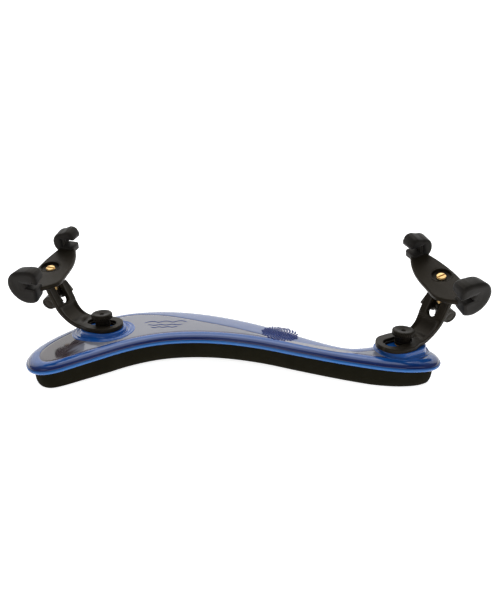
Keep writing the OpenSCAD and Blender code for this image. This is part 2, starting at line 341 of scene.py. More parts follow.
# %% Dust group: a pale film that lies on upward faces
def build_dust():
    group, source, sink = new_group(
        "dust_film", [("NodeSocketFloat", "Amount", 0.2)], [("NodeSocketFloat", "Mask")])
    shape = node(group, "ShaderNodeNewGeometry")
    split = node(group, "ShaderNodeSeparateXYZ")
    place_node = node(group, "ShaderNodeTexCoord")
    cloud = node(group, "ShaderNodeTexNoise", Scale=260.0, Detail=6.0)
    group.links.new(shape.outputs["Normal"], split.inputs[0])
    group.links.new(place_node.outputs["Object"], cloud.inputs["Vector"])
    facing = math_node(group, "MAXIMUM", split.outputs["Z"], 0.0)
    film = math_node(group, "MULTIPLY", facing, cloud.outputs["Fac"])
    group.links.new(math_node(group, "MULTIPLY", film, source.outputs["Amount"]), sink.inputs["Mask"])
    return group


GRAIN = build_grain()
WEAR_HIGHLIGHT_GROUP = build_wear_and_highlight()
DUST = build_dust()
print("groups", [g.name for g in (GRAIN, WEAR_HIGHLIGHT_GROUP, DUST)])


# %% [markdown]
# ## Dull and satin finishes
# The legs, forks and knobs are black nylon, which is really a very dark brown with a satin sheen. The
# boots are a darker, duller rubber. One builder makes both: it mixes a base colour with a warmer one by
# the mottling, lightens the edges with a colour that is partly wear and partly a painted highlight, and
# lays dust on top.

# %% Material helpers
def new_material(name):
    material = bpy.data.materials.new(name)
    material.use_nodes = True
    return material, material.node_tree, material.node_tree.nodes["Principled BSDF"]


def use_group(tree, group, **values):
    made = tree.nodes.new("ShaderNodeGroup")
    made.node_tree = group
    for key, value in values.items():
        made.inputs[key].default_value = value
    return made


def add_relief(tree, shader, grain, strength, distance):
    """Lets the grain's height tilt the surface; distance is in metres."""
    relief = node(tree, "ShaderNodeBump", Strength=strength, Distance=distance)
    tree.links.new(grain.outputs["Height"], relief.inputs["Height"])
    tree.links.new(relief.outputs["Normal"], shader.inputs["Normal"])


def set_shader(shader, **values):
    """Sets sockets by name, with an underscore for each space."""
    for key, value in values.items():
        shader.inputs[key.replace("_", " ")].default_value = value


# %% A moulded finish
DUST_COLOUR = (0.30, 0.27, 0.21)
WARM_LIGHT = (1.0, 0.86, 0.66, 1.0)


def moulded(name, base, warm, worn_and_highlight, roughness, grain_scale, bump, wear_and_highlight, dust, shine, sheen=0.0):
    material, tree, shader = new_material(name)
    grain = use_group(tree, GRAIN, **{"Grain Scale": grain_scale})
    edges = use_group(tree, WEAR_HIGHLIGHT_GROUP, Amount=wear_and_highlight)
    film = use_group(tree, DUST, Amount=dust)
    colour = mix_colour(tree, grain.outputs["Mottle"], base, warm)
    # paler edges: partly wear, partly a painted highlight along the rims
    colour = mix_colour(tree, edges.outputs["Mask"], colour, worn_and_highlight)
    colour = mix_colour(tree, film.outputs["Mask"], colour, DUST_COLOUR)
    tree.links.new(colour, shader.inputs["Base Color"])
    spread = math_node(tree, "MULTIPLY", grain.outputs["Mottle"], 0.22)
    rough = math_node(tree, "ADD", spread, roughness - 0.11, clamp=True)
    polish = math_node(tree, "MULTIPLY", edges.outputs["Mask"], 0.12)
    rough = math_node(tree, "SUBTRACT", rough, polish)
    tree.links.new(rough, shader.inputs["Roughness"])
    add_relief(tree, shader, grain, bump, 0.00004)
    set_shader(shader, Specular_IOR_Level=shine, Specular_Tint=WARM_LIGHT, Sheen_Weight=sheen,
               Sheen_Roughness=0.5)
    return material


# the third colour of each finish is its paler edge, partly wear and partly a painted highlight
NYLON = moulded("black_nylon", (0.006, 0.005, 0.004), (0.019, 0.015, 0.010), (0.09, 0.075, 0.05),
                roughness=0.40, grain_scale=2600.0, bump=0.35, wear_and_highlight=0.6, dust=0.03, shine=0.12)
KNOB = moulded("knob_nylon", (0.006, 0.005, 0.004), (0.016, 0.013, 0.010), (0.08, 0.07, 0.055),
               roughness=0.42, grain_scale=2200.0, bump=0.4, wear_and_highlight=0.7, dust=0.05, shine=0.10)
RUBBER = moulded("boot_rubber", (0.007, 0.007, 0.008), (0.014, 0.013, 0.012), (0.06, 0.055, 0.04),
                 roughness=0.46, grain_scale=3200.0, bump=0.45, wear_and_highlight=0.4, dust=0.05, shine=0.09,
                 sheen=0.03)
FOAM = moulded("pad_foam", (0.007, 0.0065, 0.0035), (0.017, 0.015, 0.009), (0.03, 0.027, 0.018),
               roughness=0.95, grain_scale=1500.0, bump=1.0, wear_and_highlight=0.2, dust=0.02, shine=0.03,
               sheen=0.02)
print("moulded finishes", NYLON.name, KNOB.name, RUBBER.name, FOAM.name)


# %% [markdown]
# ## Brass and steel
# The rods and nuts are turned brass. Turning leaves fine rings, and handling dulls the colour in patches,
# so the colour and the roughness both follow a slow noise.

# %% Metal finishes
def metal(name, bright, dull, roughness):
    material, tree, shader = new_material(name)
    grain = use_group(tree, GRAIN, **{"Grain Scale": 5200.0, "Mottle Scale": 500.0})
    tree.links.new(mix_colour(tree, grain.outputs["Mottle"], bright, dull), shader.inputs["Base Color"])
    spread = math_node(tree, "MULTIPLY", grain.outputs["Mottle"], 0.3)
    tree.links.new(math_node(tree, "ADD", spread, roughness, clamp=True), shader.inputs["Roughness"])
    add_relief(tree, shader, grain, 0.2, 0.00002)
    set_shader(shader, Metallic=1.0)
    return material


BRASS = metal("turned_brass", (0.86, 0.58, 0.25), (0.52, 0.33, 0.13), 0.14)
STEEL = metal("turned_steel", (0.60, 0.60, 0.62), (0.38, 0.38, 0.40), 0.22)
print("metals", BRASS.name, STEEL.name)

# %% [markdown]
# ## Blue plastic
# The bar is clear plastic tinted blue. In the light from above its flat top looks pale lavender, and that pale
# lavender is painted into the colour as a painted reflection, while the rounded shoulder and the side wall keep
# the full blue, with a navy line of painted shade in the groove where the two halves of the mould met. The
# bar's mesh carries those zones as a colour attribute: red is the flat top's painted reflection, green is the
# navy painted shade, blue is the side wall, and a low alpha is the smoky tint at the wide end. Some
# transmission and a clear coat do the rest.

# %% See-through plastic
PALE_REFLECTION = (0.225, 0.235, 0.29)
SHOULDER = (0.010, 0.10, 0.40)
WALL = (0.012, 0.15, 0.50)
NAVY_SHADE = (0.001, 0.014, 0.12)
SMOKE = (0.05, 0.030, 0.032)


def blue_plastic(name, zoned):
    material, tree, shader = new_material(name)
    grain = use_group(tree, GRAIN, **{"Grain Scale": 900.0, "Mottle Scale": 45.0})
    colour = mix_colour(tree, grain.outputs["Mottle"], SHOULDER, tuple(c * 1.25 for c in SHOULDER))
    if zoned:
        zones = node(tree, "ShaderNodeAttribute", attribute_name="zones")
        split = node(tree, "ShaderNodeSeparateColor")
        tree.links.new(zones.outputs["Color"], split.inputs["Color"])
        # the flat top's pale lavender is a painted reflection of the light from above
        top = mix_colour(tree, grain.outputs["Mottle"], PALE_REFLECTION, tuple(c * 1.12 for c in PALE_REFLECTION))
        colour = mix_colour(tree, split.outputs["Red"], colour, top)
        colour = mix_colour(tree, split.outputs["Blue"], colour, WALL)
        # navy painted shade in the grooves and on the lower part of the shoulder
        colour = mix_colour(tree, split.outputs["Green"], colour, NAVY_SHADE)
        colour = mix_colour(tree, zones.outputs["Alpha"], SMOKE, colour)
    tree.links.new(colour, shader.inputs["Base Color"])
    spread = math_node(tree, "MULTIPLY", grain.outputs["Mottle"], 0.10)
    tree.links.new(math_node(tree, "ADD", spread, 0.06), shader.inputs["Roughness"])
    add_relief(tree, shader, grain, 0.06, 0.00005)
    set_shader(shader, Transmission_Weight=0.12, IOR=1.49, Specular_IOR_Level=0.3, Coat_Weight=0.35,
               Coat_Roughness=0.04)
    return material


PLASTIC = blue_plastic("blue_plastic", True)
PLASTIC_PLAIN = blue_plastic("blue_plastic_boss", False)
INK = moulded("navy_relief", (0.012, 0.035, 0.22), (0.02, 0.06, 0.30), (0.05, 0.12, 0.42),
              roughness=0.30, grain_scale=1800.0, bump=0.2, wear_and_highlight=0.2, dust=0.0, shine=0.3)
print("plastics", PLASTIC.name, PLASTIC_PLAIN.name, INK.name)

# %% [markdown]
# ## The outline of the bar
# The bar's edge is a free curve. It is read back from the CAD bar: the sharp loop where the side wall
# meets the underside, with the arch taken out. It is then walked from tip to tip on both edges with the
# same number of steps, so that each point has a partner across the bar.

# %% Read the outline
HALF_STEPS = 110             # steps from tip to tip along one edge
END_H = 14.5                 # top of the bar at its two ends
ARCH_H = 4.0                 # how much the middle stands higher
ARCH_RUN = 113.0             # half the length over which it rises
ARCH_R = (ARCH_RUN ** 2 + ARCH_H ** 2) / (2 * ARCH_H)
ARCH_X = -1.74               # where the arch is highest
SHELL_T = 4.5                # thickness of the plastic
UPRIGHT = 0.3                # a wall's normal has less z than this
EDGE_REACH = 0.06            # how near the underside a point of the edge lies


def top_of_bar(x):
    return END_H + ARCH_H - ARCH_R + math.sqrt(ARCH_R ** 2 - (x - ARCH_X) ** 2)


def underside(x):
    return top_of_bar(x) - SHELL_T


def edge_loop():
    """Walks the sharp edge between the side wall and the underside once round."""
    bm = bmesh.new()
    bm.from_mesh(nodes["body_shell"].data)
    bmesh.ops.remove_doubles(bm, verts=bm.verts, dist=0.005 * MM)
    joined = {}
    for face in bm.faces:
        if abs(face.normal.z) > UPRIGHT:
            continue
        for edge in face.edges:
            ends = [v.co / MM for v in edge.verts]
            if max(abs(p.z - underside(p.x)) for p in ends) < EDGE_REACH:
                first, second = (v.index for v in edge.verts)
                joined.setdefault(first, set()).add(second)
                joined.setdefault(second, set()).add(first)
    start = min(joined)
    loop = [start, min(joined[start])]
    while True:
        onward = [i for i in joined[loop[-1]] if i != loop[-2]]
        if onward[0] == start:
            break
        loop.append(onward[0])
    bm.verts.ensure_lookup_table()
    points = np.array([(bm.verts[i].co.x, bm.verts[i].co.y) for i in loop]) / MM
    bm.free()
    return points


def resample(points, count):
    """Evenly spaced points on an open line."""
    lengths = np.r_[0, np.cumsum(np.linalg.norm(np.diff(points, axis=0), axis=1))]
    wanted = np.linspace(0, lengths[-1], count)
    return np.c_[np.interp(wanted, lengths, points[:, 0]), np.interp(wanted, lengths, points[:, 1])]


def smooth_ring(ring, rounds):
    """Moves each point halfway to the middle of its neighbours, as many times as asked."""
    for _ in range(rounds):
        ring = 0.5 * ring + 0.25 * (np.roll(ring, 1, 0) + np.roll(ring, -1, 0))
    return ring


raw_loop = edge_loop()
tip_right = int(raw_loop[:, 0].argmax())
raw_loop = np.roll(raw_loop, -tip_right, axis=0)
tip_left = int(raw_loop[:, 0].argmin())
half_a = resample(raw_loop[:tip_left + 1], HALF_STEPS + 1)
half_b = resample(np.r_[raw_loop[tip_left:], raw_loop[:1]], HALF_STEPS + 1)
OUTLINE = smooth_ring(np.r_[half_a[:-1], half_b[:-1]], 3)
xs, ys = OUTLINE.T
area = 0.5 * np.sum(xs * np.roll(ys, -1) - np.roll(xs, -1) * ys)
if area < 0:
    OUTLINE = np.roll(OUTLINE[::-1], 1, axis=0)
tangent = np.roll(OUTLINE, -1, 0) - np.roll(OUTLINE, 1, 0)
tangent /= np.linalg.norm(tangent, axis=1)[:, None]
INWARD = smooth_ring(np.c_[-tangent[:, 1], tangent[:, 0]], 6)
INWARD /= np.linalg.norm(INWARD, axis=1)[:, None]
print("outline", len(OUTLINE), "points, area", round(abs(area)), "mm2")


# %% [markdown]
# ## Rings and caps of the bar
# A ring is the outline moved inward and set at a height. The last ring on the top and on the bottom is
# closed with a ladder of quads between partner points, so that the wide faces follow the arch smoothly.

# %% Rings from the outline
def strip_growth(i):
    """How far the line on the top strays from the back edge at outline point i."""
    if not 0 < i < HALF_STEPS:
        return 0.0
    x = OUTLINE[i][0]
    return 7.5 * soft_step(x, -78, -10) * soft_step(x, 70, 12)


GROWTH = np.array([strip_growth(i) for i in range(len(OUTLINE))])


def ring_at(inset, height_of, stray=0.0):
    """The outline moved inward by inset, and further behind where the top's line strays."""
    flat = OUTLINE + INWARD * (inset + stray * GROWTH)[:, None]
    return [Vector((x, y, height_of(x))) for x, y in flat]


def ladder_cap(verts, base, height_of, rungs=8):
    """Fills the ring that starts at base with quads from edge to edge."""
    faces = []
    total = 2 * HALF_STEPS
    rows = []
    for j in range(1, HALF_STEPS):
        a = Vector(verts[base + j])
        b = Vector(verts[base + total - j])
        row = [base + j]
        for k in range(1, rungs):
            p = a.lerp(b, k / rungs)
            verts.append(Vector((p.x, p.y, height_of(p.x))))
            row.append(len(verts) - 1)
        row.append(base + total - j)
        rows.append(row)
    for first, second in zip(rows, rows[1:]):
        for k in range(rungs):
            faces.append((first[k], first[k + 1], second[k + 1], second[k]))
    for tip, row in ((base, rows[0]), (base + HALF_STEPS, rows[-1])):
        faces += [(tip, row[k], row[k + 1]) for k in range(rungs)]
    return faces


# %% [markdown]
# ## The plastic bar
# Seen from the side the bar has a wide rounded shoulder, a thin groove at the parting line and a bulging
# wall below it. Each row of the profile is an inset, a height below the top, and the zone it belongs to.

# %% Build the bar
# inset, height above the top face, flat top (painted reflection), navy line (painted shade), side wall
BAR_PROFILE = [
    (4.6, -4.50, 0, 0, 1), (1.3, -4.48, 0, 0, 1), (0.55, -4.25, 0, 0, 1), (0.15, -3.8, 0, 0, 1),
    (0.0, -3.3, 0, 0, 1), (0.05, -2.8, 0, 0, 1), (0.3, -2.4, 0, 0.3, 0.9), (0.8, -2.16, 0, 1, 0.1),
    (1.15, -2.06, 0, 1, 0), (1.25, -1.92, 0, 1, 0), (1.1, -1.8, 0, 1, 0), (1.25, -1.5, 0, 1, 0),
    (1.7, -1.12, 0, 0.9, 0), (2.5, -0.75, 0, 0.7, 0), (3.4, -0.42, 0, 0.35, 0), (4.6, -0.18, 0, 0.08, 0),
    (6.0, -0.05, 0, 0, 0), (7.0, 0.0, 0.1, 0.1, 0), (7.35, -0.1, 0.2, 1, 0), (7.6, -0.14, 0.3, 1, 0),
    (7.85, -0.1, 0.6, 1, 0), (8.2, 0.0, 1, 0.1, 0), (9.2, 0.0, 1, 0, 0),
]


def zones_of(verts, ring_points):
    """Colour of each point: flat top's painted reflection, navy painted shade, side wall and clearness. Caps
    follow the last row.
    """
    zones = []
    count = len(OUTLINE)
    left_end = OUTLINE[:, 0].min()
    for i, v in enumerate(verts):
        on_ring = i < ring_points
        inset, _, flat, line, wall = BAR_PROFILE[i // count if on_ring else -1]
        on_top = v.z > underside(v.x) + 2.0
        wave = 2.5 * math.sin(v.y * 0.45) + 1.5 * math.sin(v.y * 1.1 + 1.0)
        smoke = soft_step(v.x - left_end, 29 + wave, 23 + wave) if on_top and flat > 0.5 else 0.0
        behind = on_ring and i % count < HALF_STEPS
        # the back shoulder gets part of the top's painted reflection, so it is painted paler
        if behind and on_top and inset > 1.6:
            flat = max(flat, 0.42)
        # the back edge gets less of the navy painted shade
        if behind and inset < 5:
            line = line * 0.35
        zones.append((flat, line, wall, 1.0 - 0.9 * smoke))
    return zones


def nearest_zone(table, key):
    if key in table:
        return table[key]
    best = min(table, key=lambda k: sum((a - b) ** 2 for a, b in zip(k, key)))
    return table[best]


def build_bar():
    rings = []
    for inset, level, *_ in BAR_PROFILE:
        stray = soft_step(inset, 1.5, 7.0) if level > -1.9 else 0.0
        rings.append(ring_at(inset, lambda x, h=level: top_of_bar(x) + h, stray))
    verts, faces = loft(rings, cap_start=False, cap_end=False)
    count = len(OUTLINE)
    faces += ladder_cap(verts, 0, underside)
    faces += ladder_cap(verts, (len(rings) - 1) * count, top_of_bar, rungs=12)
    zones = zones_of(verts, count * len(rings))
    piece = add_piece("bar", verts, faces, "base", PLASTIC, "blue_plastic", ["body_shell"], smooth=50)
    table = {tuple(round(c, 3) for c in v): z for v, z in zip(verts, zones)}
    layer = piece.data.color_attributes.new("zones", "FLOAT_COLOR", "POINT")
    for vertex in piece.data.vertices:
        key = tuple(round(c / MM, 3) for c in vertex.co)
        layer.data[vertex.index].color = nearest_zone(table, key)


build_bar()


# %% [markdown]
# ## The foam pad
# The pad is a strip of closed-cell foam, cut a little smaller than the bar and glued under it. Its sides
# bulge very slightly and its lower edge is rounded by use. The underside lifts off the shoulder in the
# middle, as it does on the CAD pad.

# %% Build the pad
HOLLOW = 72.0                # half the length that lifts off
HOLLOW_RISE = 2.0            # how far its middle lifts
GLUE_GAP = 0.02              # between the pad and the bar


def pad_bottom(x):
    return max(0.0, HOLLOW_RISE * (1 - ((x - ARCH_X) / HOLLOW) ** 2))


def pad_height(x, level):
    """Height in the pad at x: level 0 is its underside and level 1 its glued face."""
    return pad_bottom(x) + level * (underside(x) - GLUE_GAP - pad_bottom(x))


# inset and level
PAD_PROFILE = [
    (9.0, 1.0), (4.6, 1.0), (4.15, 0.985), (3.95, 0.93), (3.75, 0.8), (3.65, 0.62), (3.65, 0.45),
    (3.8, 0.31), (4.15, 0.19), (4.7, 0.10), (5.5, 0.035), (6.6, 0.005), (8.0, 0.0), (9.5, 0.0),
]


def build_pad():
    rings = []
    for inset, level in PAD_PROFILE:
        rings.append(ring_at(inset, lambda x, q=level: pad_height(x, q)))
    verts, faces = loft(rings, cap_start=False, cap_end=False)
    faces += ladder_cap(verts, 0, lambda x: underside(x) - GLUE_GAP)
    faces += ladder_cap(verts, (len(rings) - 1) * len(OUTLINE), pad_bottom)
    noise = np.random.default_rng(4)
    ripple = smooth_ring(noise.normal(0, 0.6, len(OUTLINE))[:, None], 14)[:, 0]
    for r in range(3, 9):
        for i in range(len(OUTLINE)):
            v = verts[r * len(OUTLINE) + i]
            verts[r * len(OUTLINE) + i] = v + Vector((*INWARD[i], 0)) * float(ripple[i])
    piece = add_piece("pad", verts, faces, "base", FOAM, "foam", ["foam_pad"], smooth=60)


build_pad()


# %% [markdown]
# ## The bosses
# Each leg stands on a raised oval boss, moulded with the bar. Low ridges run round its foot, so it is
# lofted from oval rings: out over the ridges, up the wall, then in to the round hole for the insert.

# %% Oval rings
BOSS_R = 10.5                # wall of the boss
BOSS_TRAVEL = 3.25           # half the straight part of its oval


def oval(radius, half_travel, count=72):
    """Points of a circle whose two halves are pulled apart along x."""
    points = []
    for i in range(count):
        a = 2 * math.pi * i / count
        shift = half_travel if math.cos(a) > 0 else -half_travel
        points.append((radius * math.cos(a) + shift * min(1.0, abs(math.cos(a)) * 3), radius * math.sin(a)))
    return points


def build_boss(side, flare):
    f = FRAMES[side]
    ground = top_of_bar(f["stud"].x)
    height = PAD_Z - ground
    # growth of the oval and height over the bar: two ridges, the wall, the rounded rim
    rows = [
        (flare + 0.9, -1.0), (flare + 0.6, 0.10), (flare + 0.3, 0.34), (flare, 0.38),
        (flare - 0.4, 0.12), (flare * 0.62 + 0.3, 0.10), (flare * 0.62, 0.30), (flare * 0.55, 0.42),
        (flare * 0.45, 0.2), (0.9, 0.16), (0.35, 0.45), (0.05, 1.0),
        (0.0, height - 0.35), (-0.12, height - 0.12), (-0.4, height - 0.02), (-1.5, height - 0.02),
    ]
    rings = []
    for grow, level in rows:
        ring = []
        for x, y in oval(BOSS_R + grow, BOSS_TRAVEL):
            p = f["stud"] + f["out"] * x + f["back"] * y
            base = top_of_bar(p.x) if level < 0.45 else ground
            ring.append(Vector((p.x, p.y, base + level)))
        rings.append(ring)
    for radius, level in ((4.2, height - 0.02), (4.05, height - 0.1), (4.02, height - 3.0)):
        ring = []
        for x, y in oval(radius, 0.0):
            p = f["stud"] + f["out"] * x + f["back"] * y
            ring.append(Vector((p.x, p.y, ground + level)))
        rings.append(ring)
    verts, faces = loft(rings, cap_start=False, cap_end=True)
    add_piece(side + "_boss", verts, faces, "base", PLASTIC_PLAIN, "blue_plastic", smooth=45)


build_boss("left", 4.4)
build_boss("right", 1.6)


# %% [markdown]
# ## Relief on the bar
# A textured oval near the middle stops a cloth from slipping, and a plain ornament of three waves sits
# by the wide end. Both are raised a fraction of a millimetre. The oval is covered with small domes on a
# spiral, which fills a round shape evenly; the waves are thin swept ridges.

# %% Small domes
def dome(centre, radius, height, sides=8):
    rings = []
    turns = [2 * math.pi * i / sides for i in range(sides)]
    for scale, level in ((1.0, -0.15), (0.92, 0.35), (0.6, 0.8)):
        rings.append([Vector((centre.x + radius * scale * math.cos(a),
                              centre.y + radius * scale * math.sin(a),
                              centre.z + height * level)) for a in turns])
    verts, faces = loft(rings, cap_start=False, cap_end=False)
    verts.append(centre + Vector((0, 0, height)))
    top = 2 * sides
    faces += [(top + i, top + (i + 1) % sides, len(verts) - 1) for i in range(sides)]
    return verts, faces


def merge(parts):
    """Joins several pairs of points and faces into one."""
    verts, faces = [], []
    for part_verts, part_faces in parts:
        base = len(verts)
        verts += part_verts
        faces += [tuple(i + base for i in face) for face in part_faces]
    return verts, faces


GRIP_AT = (22.5, -3.5)
GRIP_TURN = math.radians(-33)
GRIP_HALVES = (11.0, 8.6)    # half length and half width of the oval
GRIP_DOTS = 150
DOT_R = 0.66
DOT_H = 0.45
GOLDEN_TURN = 2.39996        # radians from one dot of the spiral to the next
grip_parts = []
for i in range(GRIP_DOTS):
    spread = math.sqrt((i + 0.5) / GRIP_DOTS)
    angle = i * GOLDEN_TURN
    x = GRIP_HALVES[0] * spread * math.cos(angle)
    y = GRIP_HALVES[1] * spread * math.sin(angle)
    px = GRIP_AT[0] + x * math.cos(GRIP_TURN) - y * math.sin(GRIP_TURN)
    py = GRIP_AT[1] + x * math.sin(GRIP_TURN) + y * math.cos(GRIP_TURN)
    grip_parts.append(dome(Vector((px, py, top_of_bar(px))), DOT_R, DOT_H))
add_piece("grip_dots", *merge(grip_parts), "base", INK, "blue_plastic")


# %% Swept ridges
def ridge(points, half_width, height):
    """A low rounded ridge along a line of (x, y) points on the bar."""
    rings = []
    for i, (x, y) in enumerate(points):
        ahead = points[min(i + 1, len(points) - 1)]
        behind = points[max(i - 1, 0)]
        run = Vector((ahead[0] - behind[0], ahead[1] - behind[1])).normalized()
        across = Vector((-run.y, run.x))
        taper = math.sin(math.pi * min(1.0, (i + 1) / 4, (len(points) - i) / 4) / 2)
        ring = []
        for k in range(8):
            a = 2 * math.pi * k / 8
            side_shift = across * (half_width * taper * math.cos(a))
            ring.append(Vector((x + side_shift.x, y + side_shift.y,
                                top_of_bar(x) + height * taper * math.sin(a))))
        rings.append(ring)
    return loft(rings)


WAVE_START = (-59.0, 13.5)
WAVE_LENGTH = 26             # of the first row; each row after it is 5 mm shorter
WAVE_GAP = 3.4               # from row to row
WAVE_STEPS = 40
waves = []
for row in range(3):
    line = []
    for i in range(WAVE_STEPS + 1):
        t = i / WAVE_STEPS
        x = WAVE_START[0] + (WAVE_LENGTH - 5 * row) * t + 2.5 * row
        if row == 0:
            swell = 2.0 * abs(math.sin(math.pi * 3 * t))
        else:
            swell = 0.5 * math.sin(math.pi * 6 * t + row)
        line.append((x, WAVE_START[1] - WAVE_GAP * row + swell))
    waves.append(ridge(line, 0.36, 0.24))
add_piece("wave_ornament", *merge(waves), "base", INK, "blue_plastic")


# %% [markdown]
# ## The legs
# A leg is a nylon strip: a round base plate with a long slot, a bend, and an arm that ends in two prongs.
# It is drawn flat, cut by a fine grid, dished and creased on its inner face, and only then rolled
# round the bend, the way a strip of sheet would be.

# %% The flat leg
ARC_LEN = BEND_R * ARM_LEAN
ARM_START = BEND_U + ARC_LEN
LEG_END = ARM_START + ARM_L
PRONG_GAP = 6.2              # between the two prongs
SLOT_FLOOR = ARM_START + 4.6
CORNER_R = 1.8               # outer corner of a prong
SLOT_AT = -1.5               # middle of the base plate's slot
SLOT_RUN = 8.8               # straight part of the slot
SLOT_W = 9.2
LEDGE_T = 1.14               # step inside the slot that the collar rests on
LEDGE_RAISE = 0.6            # its middle, above the lower face


def leg_half_width(s):
    wide = PLATE_R - 2.1 * soft_step(s, 0.5, 9.5)
    waist = -0.75 * math.exp(-((s - 17.0) / 7.0) ** 2)
    return wide + waist + (ARM_HALF - 7.9) * soft_step(s, 20, 30)


def leg_outline():
    stations = np.arange(-3.0, LEG_END - 2.0, 1.0)
    upper = [(s, leg_half_width(s)) for s in stations]
    lower = [(s, -leg_half_width(s)) for s in stations]
    end = arc_points(-PLATE_BACK, 0, PLATE_R, 96, 264, 29)
    tip = LEG_END
    prong_low = [(tip, -PRONG_GAP / 2 - 0.6), (tip - 0.6, -PRONG_GAP / 2)]
    prong_high = [(tip - 0.6, PRONG_GAP / 2), (tip, PRONG_GAP / 2 + 0.6)]
    corner_low = arc_points(tip - CORNER_R, -ARM_HALF + CORNER_R, CORNER_R, -90, 0, 6)
    corner_high = arc_points(tip - CORNER_R, ARM_HALF - CORNER_R, CORNER_R, 0, 90, 6)
    floor = arc_points(SLOT_FLOOR, 0, PRONG_GAP / 2, -90, -270, 17)
    return end + lower + corner_low + prong_low + floor + prong_high + corner_high + upper[::-1]


def slot_outline(width):
    right = arc_points(SLOT_AT + SLOT_RUN / 2, 0, width / 2, 90, -90, 13)
    left = arc_points(SLOT_AT - SLOT_RUN / 2, 0, width / 2, 270, 90, 13)
    return right + left


# %% Roll the strip round its bend
def roll_up(side):
    """Sends a flat point of the leg to its place: s along the strip, v across, w through it."""
    f = FRAMES[side]
    mid_z = PAD_Z + LEG_T / 2

    def shape(s, v, w):
        if s <= BEND_U:
            u, z, lean = s, mid_z, 0.0
        elif s <= ARM_START:
            lean = (s - BEND_U) / BEND_R
            u = BEND_U + BEND_R * math.sin(lean)
            z = mid_z + BEND_R * (1 - math.cos(lean))
        else:
            lean = ARM_LEAN
            u = BEND_U + BEND_R * math.sin(lean) + (s - ARM_START) * math.cos(lean)
            z = mid_z + BEND_R * (1 - math.cos(lean)) + (s - ARM_START) * math.sin(lean)
        u -= w * math.sin(lean)
        z += w * math.cos(lean)
        p = f["leg"] + f["out"] * u + f["back"] * v
        return Vector((p.x, p.y, z))

    return shape


def leg_relief(s, v, w):
    """Dish, crease, dimple and sunken prongs on the inner face."""
    if w < LEG_T / 2 - 0.35:
        return w
    inside = soft_step(abs(v), ARM_HALF - 1.2, ARM_HALF - 3.4)
    dish = 0.95 * inside * soft_step(s, 12.5, 16.5) * soft_step(s, ARM_START + 0.4, ARM_START - 2.0)
    crease = 0.6 * math.exp(-((s - ARM_START - 0.4) / 0.45) ** 2)
    dimple = 1.1 * math.exp(-((s - 11.2) / 1.1) ** 2 - (v / 3.0) ** 2)
    from_prong = abs(v - math.copysign(5.7, v))
    panel = 0.132 * soft_step(from_prong, 2.0, 1.4) * soft_step(s, ARM_START + 1.2, ARM_START + 2.0)
    return w - dish - crease - dimple - panel


def build_leg(side):
    leg = side + "_leg"
    roll = roll_up(side)
    mesh = slab([leg_outline(), slot_outline(SLOT_W)], LEG_T, bevel=0.4, step=0.8)
    bend_mesh(mesh, lambda s, v, w: roll(s, v, leg_relief(s, v, w)))
    finish_piece(leg + "_strip", mesh, leg, NYLON, [leg], smooth=38)
    ledge = slab([slot_outline(SLOT_W + 0.7), slot_outline(7.0)], LEDGE_T, bevel=0.15, step=3.0)
    bend_mesh(ledge, lambda s, v, w: roll(s, v, w - LEG_T / 2 + LEDGE_RAISE))
    finish_piece(side + "_slot_ledge", ledge, leg, NYLON, smooth=38)


for side in SIDES:
    build_leg(side)


# %% [markdown]
# ## The knobs
# A thumb knob has a wide cap with fine flutes for grip, a shallow dish on top with a small dimple, and a
# smooth neck that goes down into the leg's slot. It is one turned profile; only its flutes are not round.

# %% Build the knobs
CAP_T = 3.2                  # thickness of the knob's cap
RIM_R = 6.0
FLUTES = 32


def build_knob(side):
    knob = side + "_knob"
    low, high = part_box(knob)
    foot = low.z / MM
    top = high.z / MM
    cap = top - CAP_T
    # radius, height and flute depth, from the foot of the neck to the dimple
    profile = [
        (2.55, foot, 0), (3.9, foot, 0), (4.25, foot + 0.3, 0), (4.3, foot + 1.0, 0),
        (4.3, cap - 0.7, 0), (4.6, cap - 0.15, 0), (5.3, cap, 0), (RIM_R - 0.3, cap + 0.1, 0.1),
        (RIM_R, cap + 0.45, 0.42), (RIM_R, cap + 1.4, 0.45), (RIM_R, top - 0.75, 0.42),
        (RIM_R - 0.12, top - 0.4, 0.2), (RIM_R - 0.45, top - 0.12, 0.03), (RIM_R - 0.95, top, 0),
        (4.3, top - 0.02, 0), (3.7, top - 0.14, 0), (2.8, top - 0.4, 0), (1.7, top - 0.6, 0),
        (1.3, top - 0.68, 0), (1.1, top - 1.1, 0), (0.7, top - 1.35, 0),
    ]
    stud = FRAMES[side]["stud"]
    origin = Vector((stud.x, stud.y, 0))
    rings = turned(profile, origin, UP, segments=192, flutes=FLUTES)
    verts, faces = loft(rings, cap_start=False, cap_end=True)
    add_piece(side + "_thumb_knob", verts, faces, knob, KNOB, "nylon", [knob], smooth=42)


for side in SIDES:
    build_knob(side)


# %% [markdown]
# ## The fork plates
# The plate is a leaf: wide in the middle, pointed at the boots, and gently curved up towards both ends.
# A round pocket in its middle takes the head of the brass rod. The plate is a slab with a hole, and the
# pocket with the hub below it is turned.

# %% Build the fork plates
LEAF_HALF = 27.0             # half its length
LEAF_IN = 10.0               # reach of its inner edge
LEAF_OUT = 6.5               # reach of its outer edge
LEAF_T = 3.0
LEAF_CURVE = 180.0           # radius of its upward curve
LEAF_SPARE = 0.55            # added all round
LEAF_INNER_SPARE = 0.9       # and more on the inner edge
LEAF_BULGE = 2.8             # and most of all where the inner edge swells
BULGE_AT = -14.0
BULGE_RUN = 8.0
POCKET_R = 5.2
HUB_FOOT = -4.6
ROD_HOLE_R = 1.98


def leaf_edge(reach, y):
    """Height of an arc over its chord, which is twice LEAF_HALF long."""
    r = (LEAF_HALF ** 2 + reach ** 2) / (2 * reach)
    return math.sqrt(r * r - y * y) - (r - reach)


